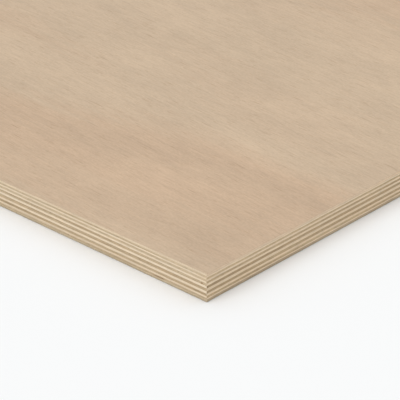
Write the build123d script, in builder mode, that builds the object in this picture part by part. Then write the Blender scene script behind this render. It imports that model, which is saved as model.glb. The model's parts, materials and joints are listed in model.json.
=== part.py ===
"""Plywood sheet: thirteen rotary-cut veneers glued in crossed layers and trimmed square.

Millimetres, +Z up. X runs along the sheet and along the grain of its face, Y across it.
The origin is at the middle of the back, so the sheet lies on z = 0.
"""

import os
from collections import namedtuple

from build123d import *

os.makedirs("parts", exist_ok=True)

# Trimmed size of the sheet
sheet_length = 2440.0
sheet_width = 1220.0

# Thickness of each veneer after pressing and sanding, from the face down
face_thickness = 1.20
crossband_2_thickness = 1.05
core_3_thickness = 1.10
crossband_4_thickness = 1.25
core_5_thickness = 1.30
crossband_6_thickness = 1.50
centre_7_thickness = 1.55
crossband_8_thickness = 1.75
core_9_thickness = 1.60
crossband_10_thickness = 1.45
core_11_thickness = 1.30
crossband_12_thickness = 0.95
back_thickness = 2.00

# Sanded arris round the face, and the deeper one round the back
face_arris = 0.25
back_arris = 0.50

# Butt joints between the strips of a core ply. A joint gapes where it meets the sawn edge and closes
# further in. Crossband joints open on the two long edges, and those of the long-grain plies on the ends.
joint_gap = 0.8
joint_run = 70.0
crossband_strip = 860.0
core_strip = 520.0
joint_clear_of_corner = 190.0
crossband_stagger = 310.0
core_stagger = 140.0

Ply = namedtuple("Ply", "label thickness grain")
LONG, CROSS = "long", "cross"
plies = [
    Ply("face_veneer", face_thickness, LONG),
    Ply("crossband_02", crossband_2_thickness, CROSS),
    Ply("core_ply_03", core_3_thickness, LONG),
    Ply("crossband_04", crossband_4_thickness, CROSS),
    Ply("core_ply_05", core_5_thickness, LONG),
    Ply("crossband_06", crossband_6_thickness, CROSS),
    Ply("centre_ply_07", centre_7_thickness, LONG),
    Ply("crossband_08", crossband_8_thickness, CROSS),
    Ply("core_ply_09", core_9_thickness, LONG),
    Ply("crossband_10", crossband_10_thickness, CROSS),
    Ply("core_ply_11", core_11_thickness, LONG),
    Ply("crossband_12", crossband_12_thickness, CROSS),
    Ply("back_veneer", back_thickness, LONG),
]
outer_plies = (plies[0].label, plies[-1].label)

# Small voids that the saw laid open, where a knot or a torn bit left the veneer: half an oval each.
# along is measured from the front right corner on the front and right edges, and from the rear left
# corner on the other two.
Void = namedtuple("Void", "label edge along width depth")
edge_voids = [
    Void("crossband_06", "front", 4.0, 2.2, 0.6),
    Void("crossband_12", "front", 36.5, 9.0, 0.6),
    Void("crossband_10", "front", 488.0, 5.0, 2.0),
    Void("crossband_04", "front", 1335.0, 3.5, 1.5),
    Void("core_ply_09", "right", 318.0, 4.0, 2.0),
    Void("core_ply_05", "right", 905.0, 6.0, 1.5),
    Void("crossband_08", "rear", 270.0, 4.5, 2.5),
    Void("crossband_02", "rear", 1120.0, 3.0, 1.0),
    Void("crossband_10", "rear", 1790.0, 6.5, 1.8),
    Void("core_ply_03", "left", 255.0, 3.5, 1.2),
    Void("core_ply_11", "left", 760.0, 5.0, 2.0),
]


def joint_places(edge_length, strip, stagger, order):
    """Distances from the corner of the strip joints of one ply, moved along from ply to ply."""
    place = joint_clear_of_corner + (order * stagger) % (strip - joint_clear_of_corner)
    places = []
    while place < edge_length - joint_clear_of_corner:
        places.append(place)
        place += strip
    return places


def joint_mouths(grain, order):
    """Where the joints of a ply open on its two edges. Each mouth's own X axis points into the sheet."""
    if grain == CROSS:
        for along in joint_places(sheet_length, crossband_strip, crossband_stagger, order):
            x = sheet_length / 2 - along
            yield Location((x, -sheet_width / 2), 90)
            yield Location((x, sheet_width / 2), -90)
    else:
        for along in joint_places(sheet_width, core_strip, core_stagger, order):
            y = along - sheet_width / 2
            yield Location((sheet_length / 2, y), 180)
            yield Location((-sheet_length / 2, y), 0)


def void_mouth(void):
    """Where a void opens on its edge, with its own X axis pointing into the sheet."""
    return {
        "front": Location((sheet_length / 2 - void.along, -sheet_width / 2), 90),
        "right": Location((sheet_length / 2, void.along - sheet_width / 2), 180),
        "rear": Location((void.along - sheet_length / 2, sheet_width / 2), -90),
        "left": Location((-sheet_length / 2, sheet_width / 2 - void.along), 0),
    }[void.edge]


def veneer(ply, level, order):
    """One veneer, cut to the sheet's outline with its joints and voids open at the edges."""
    mouths = [] if ply.label in outer_plies else list(joint_mouths(ply.grain, order))
    voids = [void for void in edge_voids if void.label == ply.label]
    with BuildPart() as sheet_ply:
        with BuildSketch(Plane.XY.offset(level)):
            Rectangle(sheet_length, sheet_width)
            if mouths:
                with Locations(*mouths):
                    Polygon(
                        (0, -joint_gap / 2), (joint_run, 0), (0, joint_gap / 2),
                        align=None, mode=Mode.SUBTRACT,
                    )
            for void in voids:
                with Locations(void_mouth(void)):
                    Ellipse(void.depth, void.width / 2, mode=Mode.SUBTRACT)
        extrude(amount=ply.thickness)
        if ply.label == outer_plies[0]:
            chamfer(sheet_ply.faces().sort_by(Axis.Z)[-1].edges(), face_arris)
        if ply.label == outer_plies[-1]:
            chamfer(sheet_ply.faces().sort_by(Axis.Z)[0].edges(), back_arris)
    sheet_ply.part.label = ply.label
    return sheet_ply.part


# The veneers, stacked from the back, which lies on z = 0
level = 0.0
for count, ply in enumerate(reversed(plies)):
    laid = veneer(ply, level, count // 2)
    export_step(laid, f"parts/{laid.label}.step")
    level += ply.thickness
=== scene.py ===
"""Plywood sheet: the finish of its thirteen veneers, and the studio that it is photographed in.

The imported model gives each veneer's outline and height. Each is made again here as a closed solid whose
sawn edge has the waves, the recesses and the glue steps of a real one. All lengths are in metres, except
those of Marks and of the camera's lens.
"""

import json
import logging
import math
from collections.abc import Mapping
from dataclasses import dataclass, field, replace
from enum import Enum
from typing import Any

import bmesh
import bpy
from mathutils import Matrix, Vector


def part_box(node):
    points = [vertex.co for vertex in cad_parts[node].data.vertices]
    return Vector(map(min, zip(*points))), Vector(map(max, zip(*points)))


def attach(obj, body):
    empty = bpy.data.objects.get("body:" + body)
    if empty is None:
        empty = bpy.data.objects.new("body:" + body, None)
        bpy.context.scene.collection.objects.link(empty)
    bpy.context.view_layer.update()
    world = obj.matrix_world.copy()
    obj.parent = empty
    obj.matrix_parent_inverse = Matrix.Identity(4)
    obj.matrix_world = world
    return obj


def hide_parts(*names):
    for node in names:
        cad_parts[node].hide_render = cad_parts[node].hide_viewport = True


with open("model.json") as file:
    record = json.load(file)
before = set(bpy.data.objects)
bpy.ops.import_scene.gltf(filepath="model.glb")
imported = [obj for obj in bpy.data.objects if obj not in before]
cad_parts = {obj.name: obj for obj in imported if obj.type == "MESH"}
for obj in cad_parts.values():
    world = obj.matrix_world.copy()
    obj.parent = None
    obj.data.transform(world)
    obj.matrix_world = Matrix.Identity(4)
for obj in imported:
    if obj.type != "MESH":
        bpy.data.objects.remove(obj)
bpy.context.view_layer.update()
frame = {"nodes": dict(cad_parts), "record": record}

BODY = "root"
MM = 0.001
PLY_TINT = "ply_tint"
PLY_SHARE = "ply_share"

# The node kinds used most. A Math node's inputs share one name, so they are given by number.
MATH = "ShaderNodeMath"
VECTOR_MATH = "ShaderNodeVectorMath"
RANGE = "ShaderNodeMapRange"
MIX = "ShaderNodeMix"

log = logging.getLogger("plywood")


class Grain(Enum):
    """Which way the fibres of a veneer run."""

    ALONG = "along the sheet"
    ACROSS = "across the sheet"


class Place(Enum):
    """Where a veneer lies in the stack."""

    FACE = "the sanded face"
    CORE = "between the others"
    BACK = "the back"


def linear(hex_colour: str) -> tuple[float, float, float, float]:
    """Turns an sRGB hex colour to linear light.

    Args:
        hex_colour: Six hex digits, such as "C8AB8C".

    Returns:
        Red, green, blue and an alpha of 1.
    """
    channels = (int(hex_colour[i : i + 2], 16) / 255 for i in (0, 2, 4))
    red, green, blue = (
        c / 12.92 if c <= 0.04045 else ((c + 0.055) / 1.055) ** 2.4 for c in channels
    )
    return red, green, blue, 1.0


def add(
    tree: bpy.types.NodeTree,
    kind: str,
    inputs: Mapping[str | int, Any] | None = None,
    output: str | int = 0,
    **settings: Any,
) -> bpy.types.NodeSocket:
    """Adds one node with its settings, its fixed values and its links.

    Args:
        tree: The shader or geometry tree that gets the node.
        kind: The node's type name.
        inputs: Input name or number to a socket that feeds it, or to a fixed value.
        output: The name or number of the output that is wanted.
        **settings: The node's own properties.

    Returns:
        That output of the new node.
    """
    node = tree.nodes.new(kind)
    for name, value in settings.items():
        setattr(node, name, value)
    for key, value in (inputs or {}).items():
        if isinstance(value, bpy.types.NodeSocket):
            tree.links.new(value, node.inputs[key])
        else:
            node.inputs[key].default_value = value
    return node.outputs[output]


def plain_material(name: str) -> tuple[bpy.types.Material, bpy.types.Node]:
    """Makes a material that has nothing but its shader.

    Args:
        name: What it is called.

    Returns:
        The material, and the shader that its colour, roughness and relief go to.
    """
    made = bpy.data.materials.new(name)
    made.use_nodes = True
    return made, made.node_tree.nodes["Principled BSDF"]


def into_scene(name: str, data: bpy.types.ID) -> bpy.types.Object:
    """Makes an object and adds it to the scene.

    Args:
        name: What it is called.
        data: The mesh, lamp or camera that it shows.

    Returns:
        The object.
    """
    made = bpy.data.objects.new(name, data)
    bpy.context.scene.collection.objects.link(made)
    return made


@dataclass(frozen=True)
class Marks:
    """One size of mark in the wood, drawn out along the fibres: in millimetres, and how much it shades."""

    length: float
    width: float
    strength: float
    shift: float = 0.0
    detail: float = 2.0
    fading: float = 0.5

    def noise(
        self, tree: bpy.types.NodeTree, place: bpy.types.NodeSocket, on_edge: bool
    ) -> bpy.types.NodeSocket:
        """Adds the marks' noise.

        Args:
            tree: The shader tree.
            place: Where the shaded point is, in metres.
            on_edge: True on the sawn edge, where the width runs up the veneer's thickness.

        Returns:
            A value that wanders about one half.
        """
        if on_edge:
            sizes = (self.length, self.length, self.width)
        else:
            sizes = (self.length, self.width, self.length)
        scaled = add(
            tree, "ShaderNodeMapping",
            {"Vector": place, "Location": (self.shift,) * 3, "Scale": tuple(1 / (mm * MM) for mm in sizes)},
        )
        return add(
            tree, "ShaderNodeTexNoise",
            {"Vector": scaled, "Scale": 1.0, "Detail": self.detail, "Roughness": self.fading},
        )

    def sway(
        self, tree: bpy.types.NodeTree, place: bpy.types.NodeSocket, reach: float, on_edge: bool = False
    ) -> bpy.types.NodeSocket:
        """Adds the marks' noise, moved so that it goes either way from nothing.

        Args:
            tree: The shader tree.
            place: Where the shaded point is, in metres.
            reach: What the noise's 1 becomes. Its 0 becomes the same with a minus.
            on_edge: True on the sawn edge.

        Returns:
            A value that wanders about 0.
        """
        noise = self.noise(tree, place, on_edge)
        return add(tree, RANGE, {"Value": noise, "To Min": -reach, "To Max": reach}, clamp=False)


def shaded(
    tree: bpy.types.NodeTree, place: bpy.types.NodeSocket, marks: tuple[Marks, ...], on_edge: bool
) -> bpy.types.NodeSocket:
    """Adds several sizes of mark together.

    Args:
        tree: The shader tree.
        place: Where the shaded point is, in metres.
        marks: The marks, each with its own strength.
        on_edge: True on the sawn edge.

    Returns:
        A factor about 1 that lightens or darkens the wood.
    """
    # Noise is one half on average, so this keeps the average of the factor at 1
    total: Any = 1.0 - sum(mark.strength for mark in marks) / 2
    for mark in marks:
        noise = mark.noise(tree, place, on_edge)
        total = add(tree, MATH, {0: noise, 1: mark.strength, 2: total}, operation="MULTIPLY_ADD")
    return total


@dataclass(frozen=True)
class Flecks:
    """Separate dark marks: the noise that lays them out, the values it darkens between, and how far."""

    marks: Marks
    onset: tuple[float, float]
    cover: float

    def spread(self, tree: bpy.types.NodeTree, place: bpy.types.NodeSocket) -> bpy.types.NodeSocket:
        """Adds the flecks.

        Args:
            tree: The shader tree.
            place: Where the shaded point is, in metres, with Y across the flecks.

        Returns:
            1 in a fleck, 0 beside it.
        """
        noise = self.marks.noise(tree, place, on_edge=False)
        low, high = self.onset
        return add(
            tree, RANGE, {"Value": noise, "From Min": low, "From Max": high},
            interpolation_type="SMOOTHSTEP",
        )


@dataclass(frozen=True)
class RotaryFace:
    """Bare okoume, peeled from the log in one sheet and sanded.

    To the eye it is a pinkish tan with a satin, not glossy, surface. The knife crosses the growth rings at
    a shallow angle, which leaves broad flames that run along the sheet, greyer and paler on one side of each
    ring and rosier and darker on the other. Its pores are cut along their length into short fine dashes.
    """

    name: str = "okoume_rotary_cut_and_sanded"
    rosy: str = "C2A78B"
    grey: str = "C3AC91"
    pore: str = "A08468"
    roughness: float = 0.58
    relief: float = 0.02 * MM
    relief_strength: float = 0.6

    # Where the rings begin across the sheet, how far apart they are, and how many rings they stray
    ring_start: float = -430 * MM
    ring_pitch: float = 290 * MM
    ring_wander: Marks = Marks(1100, 300, 1.0, shift=76.9)
    ring_drift: float = 1.6
    feather: Marks = Marks(110, 3.5, 1.0, shift=8.3, detail=3.0)
    feather_reach: float = 0.15

    # Within one ring, as shares of it: the jump to grey, the fade to rosy, and the dark band that ends it
    grey_rise: tuple[float, float] = (0.0, 0.18)
    grey_fade: tuple[float, float] = (0.18, 0.85)
    late_rise: tuple[float, float] = (0.74, 0.92)
    late_end: tuple[float, float] = (0.94, 1.0)
    late_shade: float = 0.04
    lines_in_ring: float = 5.0
    line_depth: float = 0.1

    # How the fibres follow the log: one long sweep, and shorter sways with how far each goes
    sweep: float = 25 * MM
    sweep_length: float = 1800 * MM
    sweep_middle: float = 1030 * MM
    sways: tuple[tuple[Marks, float], ...] = (
        (Marks(380, 240, 1.0, shift=5.0), 6 * MM),
        (Marks(75, 34, 1.0, shift=6.1), 2.2 * MM),
    )

    # The finest marks are drawn coarser than the fibres, so that they show in the render
    marks: tuple[Marks, ...] = (
        Marks(1300, 60, 0.03, shift=11.0),
        Marks(600, 220, 0.02, shift=48.5),
        Marks(130, 50, 0.27, shift=23.0),
        Marks(50, 26, 0.05, shift=25.0),
        Marks(20, 10, 0.13, shift=27.0),
        Marks(40, 4.5, 0.05, shift=31.0),
        Marks(24, 1.8, 0.19, shift=47.0),
        Marks(8, 1.8, 0.12, shift=53.0),
        Marks(2.0, 1.2, 0.26, shift=57.0),
    )

    # Pores cut lengthwise, drawn three times as wide as real ones, and now and then a thread of gum
    pores: Flecks = Flecks(Marks(8, 0.5, 1.0, shift=59.0, detail=1.0), (0.56, 0.74), 0.3)
    gum: Flecks = Flecks(Marks(18, 1.5, 1.0, shift=93.0, detail=1.0), (0.65, 0.77), 0.45)
    pore_roughness: float = 0.2

    def swept(self, tree: bpy.types.NodeTree, place: bpy.types.NodeSocket) -> bpy.types.NodeSocket:
        """Adds the sweep and sway of the fibres, which follow the log and not the saw.

        Args:
            tree: The shader tree.
            place: Where the shaded point is, in metres.

        Returns:
            The place, moved sideways so that straight marks come out curved.
        """
        along = add(tree, "ShaderNodeSeparateXYZ", {"Vector": place}, output="X")
        turn = 2 * math.pi / self.sweep_length
        angle = add(
            tree, MATH, {0: along, 1: turn, 2: -turn * self.sweep_middle}, operation="MULTIPLY_ADD"
        )
        aside = add(tree, MATH, {0: angle}, operation="SINE")
        aside = add(tree, MATH, {0: aside, 1: self.sweep}, operation="MULTIPLY")
        for marks, reach in self.sways:
            sway = marks.sway(tree, place, reach)
            aside = add(tree, MATH, {0: aside, 1: sway}, operation="ADD")
        aside = add(tree, "ShaderNodeCombineXYZ", {"Y": aside})
        return add(tree, VECTOR_MATH, {0: place, 1: aside}, operation="ADD")

    def flames(
        self, tree: bpy.types.NodeTree, place: bpy.types.NodeSocket
    ) -> tuple[bpy.types.NodeSocket, bpy.types.NodeSocket]:
        """Adds the growth rings as the knife lays them out.

        Args:
            tree: The shader tree.
            place: Where the shaded point is, in metres, with the fibres' sweep taken out.

        Returns:
            0 on the rosy side of a ring and 1 on the grey side, and then 1 in the dark band that ends it.
        """
        across = add(tree, "ShaderNodeSeparateXYZ", {"Vector": place}, output="Y")
        turns = add(
            tree, RANGE,
            {"Value": across, "From Min": self.ring_start, "From Max": self.ring_start + self.ring_pitch},
            clamp=False,
        )
        for marks, reach in ((self.ring_wander, self.ring_drift), (self.feather, self.feather_reach)):
            drift = marks.sway(tree, place, reach)
            turns = add(tree, MATH, {0: turns, 1: drift}, operation="ADD")
        lines = add(tree, MATH, {0: turns, 1: 2 * math.pi * self.lines_in_ring}, operation="MULTIPLY")
        lines = add(tree, MATH, {0: lines}, operation="SINE")
        turns = add(tree, MATH, {0: turns}, operation="FRACT")
        rise, late, past = (
            add(
                tree, RANGE, {"Value": turns, "From Min": low, "From Max": high},
                interpolation_type="SMOOTHSTEP",
            )
            for low, high in (self.grey_rise, self.late_rise, self.late_end)
        )
        low, high = self.grey_fade
        fade = add(
            tree, RANGE, {"Value": turns, "From Min": low, "From Max": high, "To Min": 1.0, "To Max": 0.0},
            interpolation_type="SMOOTHERSTEP",
        )
        ring = add(tree, MATH, {0: rise, 1: fade}, operation="MULTIPLY")
        ring = add(tree, MATH, {0: lines, 1: self.line_depth, 2: ring}, operation="MULTIPLY_ADD")
        return ring, add(tree, MATH, {0: late, 1: past}, operation="SUBTRACT")

    def material(self) -> bpy.types.Material:
        """Builds the finish.

        Returns:
            The material.
        """
        made, shader = plain_material(self.name)
        tree = made.node_tree
        place = add(tree, "ShaderNodeTexCoord", output="Object")
        swept = self.swept(tree, place)
        ring, late = self.flames(tree, swept)
        colour = add(
            tree, MIX, {"Factor": ring, "A": linear(self.rosy), "B": linear(self.grey)},
            output="Result", data_type="RGBA",
        )
        shade = shaded(tree, swept, self.marks, on_edge=False)
        shade = add(tree, MATH, {0: late, 1: -self.late_shade, 2: shade}, operation="MULTIPLY_ADD")
        colour = add(tree, VECTOR_MATH, {0: colour, "Scale": shade}, operation="SCALE")
        pore, gum = self.pores.spread(tree, swept), self.gum.spread(tree, swept)
        for fleck, cover in ((pore, self.pores.cover), (gum, self.gum.cover)):
            dark = add(tree, MATH, {0: fleck, 1: cover}, operation="MULTIPLY")
            colour = add(
                tree, MIX, {"Factor": dark, "A": colour, "B": linear(self.pore)},
                output="Result", data_type="RGBA",
            )
        tree.links.new(colour, shader.inputs["Base Color"])

        rough = add(
            tree, MATH, {0: pore, 1: self.pore_roughness, 2: self.roughness}, operation="MULTIPLY_ADD"
        )
        tree.links.new(rough, shader.inputs["Roughness"])
        height = add(tree, MATH, {0: shade, 1: pore}, operation="SUBTRACT")
        normal = add(
            tree, "ShaderNodeBump",
            {"Height": height, "Distance": self.relief, "Strength": self.relief_strength},
        )
        tree.links.new(normal, shader.inputs["Normal"])
        return made


FACE_SANDED = RotaryFace()
BACK_SANDED = replace(
    # The back's veneer comes from a darker log, with narrower rings and more open pores.
    FACE_SANDED,
    name="okoume_back_rotary_cut_and_sanded",
    rosy="B29A7E",
    grey="BBA88C",
    ring_pitch=170 * MM,
    ring_start=-560 * MM,
    ring_wander=Marks(900, 260, 1.0, shift=41.3),
    pores=Flecks(Marks(10, 0.6, 1.0, shift=67.0, detail=1.0), (0.56, 0.74), 0.3),
)
INNER_GLUED = replace(
    # The hidden sides are soaked with glue: browner than bare wood, and a little shiny.
    FACE_SANDED,
    name="inner_veneer_with_a_film_of_glue",
    rosy="A98862",
    grey="B69A76",
    ring_pitch=310 * MM,
    roughness=0.42,
)


@dataclass(frozen=True)
class SawnEdge:
    """What the saw leaves of a veneer's edge: wood scratched by the teeth, between two dark glue lines.

    Every ply has its own tint, from 0 to 1, which drifts as the edge crosses softer and harder wood.
    """

    name: str
    plain: str
    tinted: str
    marks: tuple[Marks, ...]
    roughness: float
    relief: float
    relief_strength: float = 0.7

    # How tint and warmth drift along a ply, and the scratches of the saw's teeth
    drift: Marks = Marks(120, 2.2, 1.0, shift=83.0)
    drift_reach: float = 2.0
    blush: Marks = Marks(14, 1.2, 1.0, shift=89.0)
    blush_reach: float = 0.05
    teeth: Marks = Marks(0.9, 40, 0.03, shift=71.0, detail=1.0)

    # Glue soaks into a share of the thickness on either side
    glue: str = "8A6A4A"
    glue_share: float = 0.12
    glue_cover: float = 0.4

    # Fine slanting cracks that the peeling knife opens, seen where the saw crosses the fibres
    cracks: Flecks | None = None
    crack_turns: float = 40.0

    # Painted shade, darker towards the bottom of the lower arris where it meets the floor: how much, and the
    # share of the thickness it fades over
    painted_floor_shade: float = 0.0
    painted_floor_shade_span: tuple[float, float] = (0.4, 0.8)

    def cracked(
        self, tree: bpy.types.NodeTree, place: bpy.types.NodeSocket, cracks: Flecks
    ) -> bpy.types.NodeSocket:
        """Adds the cracks, which lean differently from ply to ply.

        Args:
            tree: The shader tree.
            place: Where the shaded point is, in metres.
            cracks: Their size and spread.

        Returns:
            1 in a crack, 0 beside it.
        """
        tint = add(tree, "ShaderNodeAttribute", output="Fac", attribute_name=PLY_TINT)
        lean = add(tree, MATH, {0: tint, 1: self.crack_turns}, operation="MULTIPLY")
        lean = add(tree, MATH, {0: lean}, operation="SINE")
        split = add(tree, "ShaderNodeSeparateXYZ", {"Vector": place}).node.outputs
        run = add(tree, MATH, {0: split["X"], 1: split["Y"]}, operation="ADD")
        run = add(tree, MATH, {0: split["Z"], 1: lean, 2: run}, operation="MULTIPLY_ADD")
        flat = add(tree, "ShaderNodeCombineXYZ", {"X": run, "Y": split["Z"]})
        return cracks.spread(tree, flat)

    def wood(self, tree: bpy.types.NodeTree, place: bpy.types.NodeSocket) -> bpy.types.NodeSocket:
        """Adds the ply's own colour, with its drift of tint and warmth.

        Args:
            tree: The shader tree.
            place: Where the shaded point is, in metres.

        Returns:
            The colour, without streaks or glue.
        """
        drift = self.drift.sway(tree, place, self.drift_reach, on_edge=True)
        tint = add(tree, "ShaderNodeAttribute", output="Fac", attribute_name=PLY_TINT)
        tint = add(tree, MATH, {0: tint, 1: drift}, use_clamp=True)
        colour = add(
            tree, MIX, {"Factor": tint, "A": linear(self.plain), "B": linear(self.tinted)},
            output="Result", data_type="RGBA",
        )
        low, high = 1 - self.blush_reach, 1 + self.blush_reach
        blush = self.blush.noise(tree, place, on_edge=True)
        blush = add(
            tree, MIX, {"Factor": blush, "A": (low, 1.0, high, 1.0), "B": (high, 1.0, low, 1.0)},
            output="Result", data_type="RGBA",
        )
        return add(tree, VECTOR_MATH, {0: colour, 1: blush}, operation="MULTIPLY")

    def glued(
        self, tree: bpy.types.NodeTree, colour: bpy.types.NodeSocket, share: bpy.types.NodeSocket
    ) -> bpy.types.NodeSocket:
        """Adds the glue that has soaked into the ply from both sides.

        Args:
            tree: The shader tree.
            colour: The wood's colour.
            share: Where the shaded point is in the thickness, from 0 to 1.

        Returns:
            The wood's colour with its two glue lines.
        """
        middle = 0.5
        off_centre = add(tree, MATH, {0: share, 1: middle}, operation="SUBTRACT")
        off_centre = add(tree, MATH, {0: off_centre}, operation="ABSOLUTE")
        line = add(
            tree, RANGE,
            {
                "Value": off_centre, "From Min": middle - self.glue_share, "From Max": middle,
                "To Max": self.glue_cover,
            },
            interpolation_type="SMOOTHSTEP",
        )
        return add(
            tree, MIX, {"Factor": line, "A": colour, "B": linear(self.glue)},
            output="Result", data_type="RGBA",
        )

    def material(self) -> bpy.types.Material:
        """Builds the finish.

        Returns:
            The material.
        """
        made, shader = plain_material(self.name)
        tree = made.node_tree
        place = add(tree, "ShaderNodeTexCoord", output="Object")
        colour = self.wood(tree, place)
        shade = shaded(tree, place, (*self.marks, self.teeth), on_edge=True)
        share = add(tree, "ShaderNodeAttribute", output="Fac", attribute_name=PLY_SHARE)
        height = shade
        if self.cracks:
            crack = self.cracked(tree, place, self.cracks)
            dark = add(tree, MATH, {0: crack, 1: -self.cracks.cover, 2: 1.0}, operation="MULTIPLY_ADD")
            shade = add(tree, MATH, {0: shade, 1: dark}, operation="MULTIPLY")
            height = add(tree, MATH, {0: height, 1: crack}, operation="SUBTRACT")
        # Painted shade: the ply darkens towards its bottom, where it meets the floor
        if self.painted_floor_shade:
            low, high = self.painted_floor_shade_span
            unshaded = add(
                tree, RANGE, {"Value": share, "From Min": low, "From Max": high, "To Min": 1 - self.painted_floor_shade},
                interpolation_type="SMOOTHSTEP",
            )
            shade = add(tree, MATH, {0: shade, 1: unshaded}, operation="MULTIPLY")
        colour = add(tree, VECTOR_MATH, {0: colour, "Scale": shade}, operation="SCALE")
        colour = self.glued(tree, colour, share)
        tree.links.new(colour, shader.inputs["Base Color"])

        shader.inputs["Roughness"].default_value = self.roughness
        normal = add(
            tree, "ShaderNodeBump",
            {"Height": height, "Distance": self.relief, "Strength": self.relief_strength},
        )
        tree.links.new(normal, shader.inputs["Normal"])
        return made


CORE_SAWN_ALONG = SawnEdge(
    # Pale core wood sawn with the fibres: a smooth creamy strip with fine long streaks.
    name="core_veneer_sawn_along_the_fibres",
    plain="D5C2A6",
    tinted="DFCDB2",
    marks=(
        Marks(60, 1.6, 0.16, shift=7.0),
        Marks(16, 0.6, 0.37, shift=17.0),
        Marks(5, 0.6, 0.42, shift=29.0),
        Marks(1.8, 0.3, 0.20, shift=33.0),
    ),
    roughness=0.7,
    relief=0.02 * MM,
    glue_share=0.07,
)
CROSSBAND_SAWN_ALONG = replace(
    # The crossbands come from other logs, a little browner where the saw runs with their fibres.
    CORE_SAWN_ALONG,
    name="crossband_sawn_along_the_fibres",
    plain="DCC7AA",
    tinted="DBC5A7",
)
CORE_SAWN_ACROSS = SawnEdge(
    # The same wood sawn across its fibres: darker, because the open ends drink the light, and rougher.
    name="core_veneer_sawn_across_the_fibres",
    plain="C1A987",
    tinted="A78F6E",
    marks=(
        Marks(35, 2.0, 0.20, shift=13.0),
        Marks(9, 0.7, 0.42, shift=19.0),
        Marks(2.6, 0.7, 0.56, shift=37.0),
        Marks(0.4, 0.4, 0.28, shift=39.0),
    ),
    roughness=0.85,
    relief=0.05 * MM,
    cracks=Flecks(Marks(0.45, 5.0, 1.0, shift=97.0, detail=1.0), (0.66, 0.72), 0.25),
)
CROSSBAND_SAWN_ACROSS = replace(
    # The crossbands are peeled from greyer logs, which shows on their end grain.
    CORE_SAWN_ACROSS,
    name="crossband_sawn_across_the_fibres",
    plain="C2AD8F",
    tinted="A99272",
)
FACE_SAWN_ALONG = SawnEdge(
    # Okoume freshly cut on the long edges: the tone of the face before light browned it.
    name="okoume_face_sawn_along_the_fibres",
    plain="D7C4A8",
    tinted="D0BC9F",
    marks=(
        Marks(50, 1.8, 0.10, shift=41.0),
        Marks(8, 0.7, 0.38, shift=43.0),
        Marks(1.5, 0.3, 0.20, shift=45.0),
    ),
    roughness=0.7,
    relief=0.02 * MM,
)
FACE_SAWN_ACROSS = replace(
    # The same cut at the ends, a little rosier through the open fibres.
    FACE_SAWN_ALONG,
    name="okoume_face_sawn_across_the_fibres",
    plain="D5BDA1",
    tinted="CEB598",
    roughness=0.8,
)
BACK_SAWN_ALONG = SawnEdge(
    # The back veneer comes from a darker log, and its lower arris has painted shade, darker towards the
    # bottom where it meets the floor.
    name="okoume_back_sawn_along_the_fibres",
    plain="CBB99C",
    tinted="BAA88B",
    marks=(
        Marks(60, 1.8, 0.22, shift=53.0),
        Marks(6, 0.7, 0.50, shift=61.0),
        Marks(1.2, 0.4, 0.24, shift=63.0),
    ),
    roughness=0.75,
    relief=0.03 * MM,
    painted_floor_shade=0.18,
)
BACK_SAWN_ACROSS = replace(
    # The same veneer at the ends, darker all through.
    BACK_SAWN_ALONG,
    name="okoume_back_sawn_across_the_fibres",
    plain="BBA98D",
    tinted="AA987C",
    painted_floor_shade=0.0,
)


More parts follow.
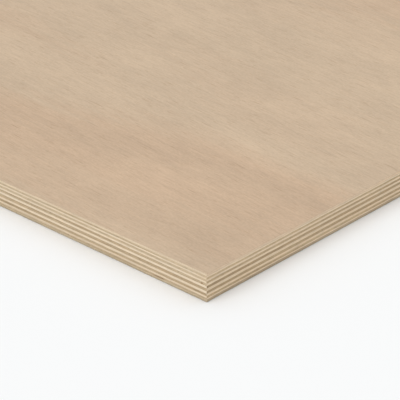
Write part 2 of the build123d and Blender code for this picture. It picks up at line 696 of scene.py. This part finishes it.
@dataclass(frozen=True)
class SawnVeneerTree:
    """The Geometry Nodes tree that turns a veneer's outline into its solid, with the edge as sawn."""

    name: str = "sawn_veneer"

    # How long the waves of the glue lines and of the sawn edge are, and the noise they come from. Noise
    # keeps near its middle, so its ends are put at twice the size that the waves should mostly stay in.
    wave_length: float = 30 * MM
    tooth_length: float = 6 * MM
    wander_detail: float = 2.0
    wander_fading: float = 0.5
    wander_stretch: float = 2.0

    # The saw's mean cut, as a share of the size it wanders by
    mean_cut: float = 0.5

    # Points closer than this are one, and a point this near the rim is on it
    merge: float = 0.002 * MM
    rim_slack: float = 0.01 * MM

    # Edges sharper than this stay sharp, and a face turned this much to one side is that side's cut
    crease: float = math.radians(35)
    side_facing: float = 0.6

    def build(self) -> bpy.types.NodeTree:
        """Builds the tree.

        Returns:
            The node group, whose inputs are named for the sizes they hold.
        """
        tree = bpy.data.node_groups.new(self.name, "GeometryNodeTree")
        face = tree.interface
        face.new_socket("Outline", in_out="INPUT", socket_type="NodeSocketGeometry")
        for name, kind in (
            ("Rows", "Int"), ("Tint", "Float"), ("Thickness", "Float"), ("Bottom", "Float"),
            ("Half Length", "Float"), ("Half Width", "Float"), ("Top Wave", "Float"),
            ("Bottom Wave", "Float"), ("Top Seed", "Float"), ("Bottom Seed", "Float"),
            ("Saw Recess", "Float"), ("Dish", "Float"), ("Top Arris", "Float"), ("Bottom Arris", "Float"),
            ("Surface", "Material"), ("Long Edge Cut", "Material"), ("End Cut", "Material"),
        ):
            face.new_socket(name, in_out="INPUT", socket_type=f"NodeSocket{kind}")
        face.new_socket("Veneer", in_out="OUTPUT", socket_type="NodeSocketGeometry")
        given = tree.nodes.new("NodeGroupInput").outputs
        shape = self.prism(tree, given)
        shape = self.sawn(tree, given, shape)
        shape = self.painted(tree, given, shape)
        tree.links.new(shape, tree.nodes.new("NodeGroupOutput").inputs[0])
        return tree

    def prism(self, tree: bpy.types.NodeTree, given: bpy.types.NodeOutputs) -> bpy.types.NodeSocket:
        """Adds the nodes that raise the outline to a closed plate with rows across its edge.

        Args:
            tree: The tree that gets them.
            given: The group's inputs.

        Returns:
            The plate's geometry, from z = 0 up.
        """
        loop = add(tree, "GeometryNodeMeshToCurve", {"Mesh": given["Outline"]})
        drop = add(tree, MATH, {0: 0.0, 1: given["Thickness"]}, operation="SUBTRACT")
        far_end = add(tree, "ShaderNodeCombineXYZ", {"Y": drop})
        line = add(tree, "GeometryNodeCurvePrimitiveLine", {"Start": (0, 0, 0), "End": far_end})
        profile = add(tree, "GeometryNodeResampleCurve", {"Curve": line, "Count": given["Rows"]})
        wall = add(tree, "GeometryNodeCurveToMesh", {"Curve": loop, "Profile Curve": profile})
        under = add(tree, "GeometryNodeFillCurve", {"Curve": loop}, mode="TRIANGLES")
        lift = add(tree, "ShaderNodeCombineXYZ", {"Z": given["Thickness"]})
        over = add(tree, "GeometryNodeTransform", {"Geometry": under, "Translation": lift})
        under = add(tree, "GeometryNodeFlipFaces", {"Mesh": under})
        whole = add(tree, "GeometryNodeJoinGeometry")
        for part in (wall, under, over):
            tree.links.new(part, whole.node.inputs[0])
        return add(tree, "GeometryNodeMergeByDistance", {"Geometry": whole, "Distance": self.merge})

    def wander(
        self,
        tree: bpy.types.NodeTree,
        flat: bpy.types.NodeSocket,
        seed: bpy.types.NodeSocket,
        size: bpy.types.NodeSocket,
        length: float,
    ) -> bpy.types.NodeSocket:
        """Adds a height or depth that wanders either side of nothing along the sheet.

        Args:
            tree: The tree that gets the nodes.
            flat: The place on the sheet.
            seed: Which wandering line it is. Two plies that meet share one.
            size: How far it mostly goes either way.
            length: How long its waves are.

        Returns:
            The wandering value.
        """
        noise = add(
            tree, "ShaderNodeTexNoise",
            {
                "Vector": flat, "W": seed, "Scale": 1 / length,
                "Detail": self.wander_detail, "Roughness": self.wander_fading,
            },
            noise_dimensions="4D",
        )
        stretch = self.wander_stretch
        even = add(tree, RANGE, {"Value": noise, "To Min": -stretch, "To Max": stretch}, clamp=False)
        return add(tree, MATH, {0: even, 1: size}, operation="MULTIPLY")

    def cut_back(
        self,
        tree: bpy.types.NodeTree,
        given: bpy.types.NodeOutputs,
        flat: bpy.types.NodeSocket,
        rise: bpy.types.NodeSocket,
        share: bpy.types.NodeSocket,
    ) -> bpy.types.NodeSocket:
        """Adds how far the edge is cut back: by the saw, by the dish between glue lines, by an arris.

        Args:
            tree: The tree that gets the nodes.
            given: The group's inputs.
            flat: The place on the sheet.
            rise: The height in the ply.
            share: That height as a share of the ply's thickness.

        Returns:
            The depth, which is never below 0.
        """
        recess = given["Saw Recess"]
        rough = self.wander(tree, flat, given["Top Seed"], recess, self.tooth_length)
        rough = add(tree, MATH, {0: recess, 1: self.mean_cut, 2: rough}, operation="MULTIPLY_ADD")
        bow = add(tree, MATH, {0: share, 1: math.pi}, operation="MULTIPLY")
        bow = add(tree, MATH, {0: bow}, operation="SINE")
        depth = add(tree, MATH, {0: bow, 1: given["Dish"], 2: rough}, operation="MULTIPLY_ADD")
        depth = add(tree, MATH, {0: depth, 1: 0.0}, operation="MAXIMUM")
        from_top = add(tree, MATH, {0: given["Thickness"], 1: rise}, operation="SUBTRACT")
        for arris, from_edge in ((given["Top Arris"], from_top), (given["Bottom Arris"], rise)):
            cut = add(tree, MATH, {0: arris, 1: from_edge}, operation="SUBTRACT")
            depth = add(tree, MATH, {0: depth, 1: cut}, operation="MAXIMUM")
        return depth

    def sawn(
        self, tree: bpy.types.NodeTree, given: bpy.types.NodeOutputs, shape: bpy.types.NodeSocket
    ) -> bpy.types.NodeSocket:
        """Adds the nodes that bend the veneer's surfaces and cut its edge back unevenly.

        Args:
            tree: The tree that gets them.
            given: The group's inputs.
            shape: The plain plate.

        Returns:
            The plate in its place in the sheet, with its sawn edge.
        """
        thickness = given["Thickness"]
        place = add(tree, "GeometryNodeInputPosition")
        split = add(tree, "ShaderNodeSeparateXYZ", {"Vector": place}).node.outputs
        share = add(tree, MATH, {0: split["Z"], 1: thickness}, operation="DIVIDE")
        flat = add(tree, "ShaderNodeCombineXYZ", {"X": split["X"], "Y": split["Y"]})
        for name, value in ((PLY_SHARE, share), (PLY_TINT, given["Tint"])):
            shape = add(
                tree, "GeometryNodeStoreNamedAttribute", {"Geometry": shape, "Name": name, "Value": value},
                data_type="FLOAT", domain="POINT",
            )
        low = self.wander(tree, flat, given["Bottom Seed"], given["Bottom Wave"], self.wave_length)
        top = self.wander(tree, flat, given["Top Seed"], given["Top Wave"], self.wave_length)
        top = add(tree, MATH, {0: top, 1: thickness})
        height = add(tree, MIX, {"Factor": share, "A": low, "B": top})
        height = add(tree, MATH, {0: height, 1: given["Bottom"]})

        depth = self.cut_back(tree, given, flat, split["Z"], share)
        moved: list[bpy.types.NodeSocket] = []
        for axis, half in (("X", given["Half Length"]), ("Y", given["Half Width"])):
            size = add(tree, MATH, {0: split[axis]}, operation="ABSOLUTE")
            inner = add(tree, MATH, {0: half, 1: self.rim_slack}, operation="SUBTRACT")
            outer = add(tree, MATH, {0: size, 1: inner}, operation="GREATER_THAN")
            step = add(tree, MATH, {0: outer, 1: depth}, operation="MULTIPLY")
            side = add(tree, MATH, {0: split[axis]}, operation="SIGN")
            back = add(tree, MATH, {0: side, 1: step}, operation="MULTIPLY")
            moved.append(add(tree, MATH, {0: split[axis], 1: back}, operation="SUBTRACT"))
        target = add(tree, "ShaderNodeCombineXYZ", {"X": moved[0], "Y": moved[1], "Z": height})
        return add(tree, "GeometryNodeSetPosition", {"Geometry": shape, "Position": target})

    def painted(
        self, tree: bpy.types.NodeTree, given: bpy.types.NodeOutputs, shape: bpy.types.NodeSocket
    ) -> bpy.types.NodeSocket:
        """Adds the nodes that shade the solid and give each side its finish.

        Args:
            tree: The tree that gets them.
            given: The group's inputs.
            shape: The sawn solid.

        Returns:
            The finished veneer.
        """
        angle = add(tree, "GeometryNodeInputMeshEdgeAngle", output="Unsigned Angle")
        sharp = add(
            tree, "FunctionNodeCompare", {"A": angle, "B": self.crease},
            data_type="FLOAT", operation="GREATER_THAN",
        )
        shape = add(
            tree, "GeometryNodeSetShadeSmooth",
            {"Geometry": shape, "Selection": sharp, "Shade Smooth": False}, domain="EDGE",
        )
        shape = add(tree, "GeometryNodeRealizeInstances", {"Geometry": shape})
        normal = add(tree, "GeometryNodeInputNormal", output="Normal")
        toward = add(tree, "ShaderNodeSeparateXYZ", {"Vector": normal}).node.outputs
        shape = add(tree, "GeometryNodeSetMaterial", {"Geometry": shape, "Material": given["Surface"]})
        for axis, finish in (("Y", given["Long Edge Cut"]), ("X", given["End Cut"])):
            size = add(tree, MATH, {0: toward[axis]}, operation="ABSOLUTE")
            chosen = add(
                tree, "FunctionNodeCompare", {"A": size, "B": self.side_facing},
                data_type="FLOAT", operation="GREATER_THAN",
            )
            shape = add(
                tree, "GeometryNodeSetMaterial", {"Geometry": shape, "Selection": chosen, "Material": finish}
            )
        return shape


@dataclass
class Veneer:
    """One ply of the sheet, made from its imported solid's outline."""

    node: str
    slot: str
    grain: Grain
    place: Place
    order: int
    tint: float
    tree: bpy.types.NodeTree
    surface: bpy.types.Material
    sawn_along: bpy.types.Material
    sawn_across: bpy.types.Material

    # How finely the sawn edge is divided along the sheet and up the ply, with more rows where an arris is
    column_step: float = 2.5 * MM
    rows: int = 6
    arris_rows: int = 2

    # The waves of a glue line, how far the saw cuts in beside it, and how much deeper at mid-ply
    wave: float = 0.06 * MM
    long_recess: float = 0.03 * MM
    cross_recess: float = 0.07 * MM
    dish: float = 0.03 * MM
    face_arris: float = 0.25 * MM
    back_arris: float = 0.50 * MM

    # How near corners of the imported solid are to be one, or on a side, and how level a flat side is
    slack: float = 0.001 * MM
    flat_facing: float = 0.9
    low: Vector = field(init=False)
    high: Vector = field(init=False)

    def __post_init__(self) -> None:
        """Takes the ply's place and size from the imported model."""
        self.low, self.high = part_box(self.node)

    def outline(self) -> list[tuple[float, float]]:
        """Reads the ply's outline, with its open joints and voids, off its full-sized flat side.

        Returns:
            The corners in order, anticlockwise seen from above.
        """
        solid = bmesh.new()
        solid.from_mesh(frame["nodes"][self.node].data)
        bmesh.ops.remove_doubles(solid, verts=solid.verts, dist=self.slack)
        solid.normal_update()
        up = -1 if self.place is Place.FACE else 1
        flat = {f for f in solid.faces if f.normal.z * up > self.flat_facing}
        rim = [e for e in solid.edges if sum(f in flat for f in e.link_faces) == 1]
        beside: dict[bmesh.types.BMVert, list[bmesh.types.BMVert]] = {}
        for edge in rim:
            for vert, other in (edge.verts, reversed(edge.verts)):
                beside.setdefault(vert, []).append(other)
        first = min(beside, key=lambda v: (v.co.x, v.co.y))
        loop = [first, beside[first][0]]
        while len(loop) < len(beside):
            loop.append(next(v for v in beside[loop[-1]] if v is not loop[-2]))
        corners = [(v.co.x, v.co.y) for v in loop]
        solid.free()
        following = corners[1:] + corners[:1]
        turning = sum(x0 * y1 - x1 * y0 for (x0, y0), (x1, y1) in zip(corners, following))
        return corners if turning > 0 else corners[::-1]

    def stepped(self, corners: list[tuple[float, float]]) -> list[tuple[float, float]]:
        """Adds points along the sheet's own four sides, so that the sawn edge can wander.

        Args:
            corners: The outline's corners in order.

        Returns:
            The outline with its long sides divided.
        """
        points: list[tuple[float, float]] = []
        for (x0, y0), (x1, y1) in zip(corners, corners[1:] + corners[:1]):
            on_side = any(
                abs(abs(a) - half) < self.slack and abs(abs(b) - half) < self.slack
                for a, b, half in ((x0, x1, self.high.x), (y0, y1, self.high.y))
            )
            length = math.hypot(x1 - x0, y1 - y0)
            count = max(1, math.ceil(length / self.column_step)) if on_side else 1
            points += [
                (x0 + (x1 - x0) * i / count, y0 + (y1 - y0) * i / count) for i in range(count)
            ]
        return points

    def sizes(self) -> dict[str, Any]:
        """Works out what the tree is given for this ply.

        Returns:
            The value of each of the tree's inputs, by its name.
        """
        along = self.grain is Grain.ALONG
        face, back = self.place is Place.FACE, self.place is Place.BACK
        return {
            "Rows": self.rows + (self.arris_rows if face or back else 0),
            "Tint": self.tint,
            "Thickness": self.high.z - self.low.z,
            "Bottom": self.low.z,
            "Half Length": self.high.x,
            "Half Width": self.high.y,
            "Top Wave": 0.0 if face else self.wave,
            "Bottom Wave": 0.0 if back else self.wave,
            "Top Seed": float(self.order),
            "Bottom Seed": float(self.order + 1),
            "Saw Recess": self.long_recess if along else self.cross_recess,
            "Dish": self.dish,
            "Top Arris": self.face_arris if face else 0.0,
            "Bottom Arris": self.back_arris if back else 0.0,
            "Surface": self.surface,
            "Long Edge Cut": self.sawn_along if along else self.sawn_across,
            "End Cut": self.sawn_across if along else self.sawn_along,
        }

    def build(self) -> bpy.types.Object:
        """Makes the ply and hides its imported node.

        Returns:
            The finished piece.
        """
        points = self.stepped(self.outline())
        count = len(points)
        rim = bpy.data.meshes.new(f"{self.node}_outline")
        rim.from_pydata([(x, y, 0.0) for x, y in points], [(i, (i + 1) % count) for i in range(count)], [])
        source = into_scene(f"{self.node}_outline", rim)
        modifier = source.modifiers.new("sawn", "NODES")
        modifier.node_group = self.tree
        sizes = self.sizes()
        for item in self.tree.interface.items_tree:
            if item.name in sizes:
                modifier[item.identifier] = sizes[item.name]
        seen = source.evaluated_get(bpy.context.evaluated_depsgraph_get())
        mesh = bpy.data.meshes.new_from_object(seen)
        mesh.name = f"{self.node}_sawn"
        # Geometry Nodes leave an empty first slot, which no face uses
        if mesh.materials[0] is None:
            mesh.materials.pop(index=0)
        bpy.data.objects.remove(source)
        piece = into_scene(f"{self.node}_sawn", mesh)
        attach(piece, BODY)
        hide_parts(self.node)
        return piece


@dataclass
class PlywoodSheet:
    """The sheet: its veneers in crossed layers from the face down, each with its own tint."""

    tints: tuple[tuple[str, float], ...] = (
        ("face_veneer", 0.3),
        ("crossband_02", 0.1),
        ("core_ply_03", 0.3),
        ("crossband_04", 0.1),
        ("core_ply_05", 0.45),
        ("crossband_06", 0.4),
        ("centre_ply_07", 0.7),
        ("crossband_08", 0.7),
        ("core_ply_09", 0.7),
        ("crossband_10", 1.0),
        ("core_ply_11", 0.2),
        ("crossband_12", 0.35),
        ("back_veneer", 0.6),
    )

    def build(self) -> list[bpy.types.Object]:
        """Makes every ply.

        Returns:
            The pieces, from the face down.
        """
        tree = SawnVeneerTree().build()
        surfaces = {
            Place.FACE: FACE_SANDED.material(),
            Place.CORE: INNER_GLUED.material(),
            Place.BACK: BACK_SANDED.material(),
        }
        cuts = {
            key: (along.material(), across.material())
            for key, along, across in (
                ((Place.FACE, Grain.ALONG), FACE_SAWN_ALONG, FACE_SAWN_ACROSS),
                ((Place.CORE, Grain.ALONG), CORE_SAWN_ALONG, CORE_SAWN_ACROSS),
                ((Place.CORE, Grain.ACROSS), CROSSBAND_SAWN_ALONG, CROSSBAND_SAWN_ACROSS),
                ((Place.BACK, Grain.ALONG), BACK_SAWN_ALONG, BACK_SAWN_ACROSS),
            )
        }
        slots = {row["node"]: row["material_slot"] for row in frame["record"]["subparts"]}
        pieces: list[bpy.types.Object] = []
        for order, (node, tint) in enumerate(self.tints):
            place = {0: Place.FACE, len(self.tints) - 1: Place.BACK}.get(order, Place.CORE)
            grain = Grain.ACROSS if order % 2 else Grain.ALONG
            ply = Veneer(
                node, slots[node], grain, place, order, tint, tree, surfaces[place], *cuts[place, grain]
            )
            piece = ply.build()
            log.info("%s: %d faces", piece.name, len(piece.data.polygons))
            pieces.append(piece)
        return pieces


@dataclass(frozen=True)
class Studio:
    """A white floor under a large soft light overhead, with a weaker one in front of the long edge."""

    floor_half: float = 60.0
    floor_drop: float = 0.02 * MM
    floor_tone: tuple[float, float, float] = (0.878, 0.887, 0.889)

    # Light from all round: a backdrop up to a height, as the sine of its elevation, and the sky above it
    backdrop: float = 0.95
    backdrop_top: float = 0.10
    backdrop_fade: float = 0.05
    sky_low: float = 0.36
    sky_high: float = 1.21

    # The soft light in front: how strong it is, where it stands and how wide it looks
    key_strength: float = 0.77
    key_elevation: float = math.radians(38)
    key_azimuth: float = math.radians(258)
    key_spread: float = math.radians(30)

    def floor(self) -> None:
        """Makes the floor, just under the sheet, so that the two surfaces don't share a plane."""
        mesh = bpy.data.meshes.new("floor")
        half, drop = self.floor_half, -self.floor_drop
        mesh.from_pydata(
            [(-half, -half, drop), (half, -half, drop), (half, half, drop), (-half, half, drop)],
            [], [(0, 1, 2, 3)],
        )
        floor = into_scene("floor", mesh)
        paint, shader = plain_material("floor_white")
        shader.inputs["Base Color"].default_value = (*self.floor_tone, 1.0)
        shader.inputs["Roughness"].default_value = 1.0
        shader.inputs["Specular IOR Level"].default_value = 0.0
        mesh.materials.append(paint)

    def sky(self) -> None:
        """Makes the light from all round: brightest overhead, with a pale backdrop low down."""
        world = bpy.data.worlds.new("sky")
        world.use_nodes = True
        tree = world.node_tree
        toward = add(tree, "ShaderNodeTexCoord", output="Generated")
        up = add(tree, "ShaderNodeSeparateXYZ", {"Vector": toward}, output="Z")
        high = add(tree, RANGE, {"Value": up, "To Min": self.sky_low, "To Max": self.sky_high})
        top = self.backdrop_top
        edge = add(tree, RANGE, {"Value": up, "From Min": top, "From Max": top + self.backdrop_fade})
        strength = add(tree, MIX, {"Factor": edge, "A": self.backdrop, "B": high})
        ground = tree.nodes["Background"]
        ground.inputs["Color"].default_value = (1, 1, 1, 1)
        tree.links.new(strength, ground.inputs["Strength"])
        bpy.context.scene.world = world

    def key(self) -> None:
        """Makes the soft light in front of the long edge."""
        sun = bpy.data.lights.new("key", "SUN")
        sun.energy = self.key_strength
        sun.angle = self.key_spread
        lamp = into_scene("key", sun)
        level = math.cos(self.key_elevation)
        toward = Vector((
            level * math.cos(self.key_azimuth),
            level * math.sin(self.key_azimuth),
            math.sin(self.key_elevation),
        ))
        lamp.rotation_euler = toward.to_track_quat("Z", "Y").to_euler()

    def build(self) -> None:
        """Makes the floor and the lights, and leaves the picture's tones as they are rendered."""
        self.floor()
        self.sky()
        self.key()
        view = bpy.context.scene.view_settings
        view.view_transform = "Standard"
        view.look = "None"


@dataclass(frozen=True)
class CornerCamera:
    """The photograph's view: down on the sheet's near right corner through a long lens."""

    azimuth: float = math.radians(43.38)
    elevation: float = math.radians(27.57)
    roll: float = math.radians(-0.46)
    lens_mm: float = 193.4
    near: float = 0.05
    far: float = 300.0

    # Where the face's near corner lies from the camera, along the camera's own directions
    corner_right: float = 3.6 * MM
    corner_down: float = 41.01 * MM
    corner_away: float = 1181.85 * MM

    def build(self, corner: Vector) -> None:
        """Places the camera.

        Args:
            corner: The face's near corner, which the camera is placed from.
        """
        a, e = self.azimuth, self.elevation
        back = Vector((math.sin(a) * math.cos(e), -math.cos(a) * math.cos(e), math.sin(e)))
        right = Vector((math.cos(a), math.sin(a), 0.0))
        up = back.cross(right)
        right, up = (
            right * math.cos(self.roll) + up * math.sin(self.roll),
            up * math.cos(self.roll) - right * math.sin(self.roll),
        )
        lens = bpy.data.cameras.new("camera")
        lens.lens = self.lens_mm
        lens.clip_start, lens.clip_end = self.near, self.far
        camera = into_scene("camera", lens)
        spot = corner - right * self.corner_right + up * self.corner_down + back * self.corner_away
        turn = Matrix((right, up, back)).transposed().to_4x4()
        camera.matrix_world = Matrix.Translation(spot) @ turn
        bpy.context.scene.camera = camera


def main() -> None:
    """Builds the sheet, the studio and the camera."""
    logging.basicConfig(level=logging.INFO, format="%(name)s: %(message)s")
    PlywoodSheet().build()
    face_low, face_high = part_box("face_veneer")
    Studio().build()
    CornerCamera().build(Vector((face_high.x, face_low.y, face_high.z)))


if __name__ == "__main__":
    main()
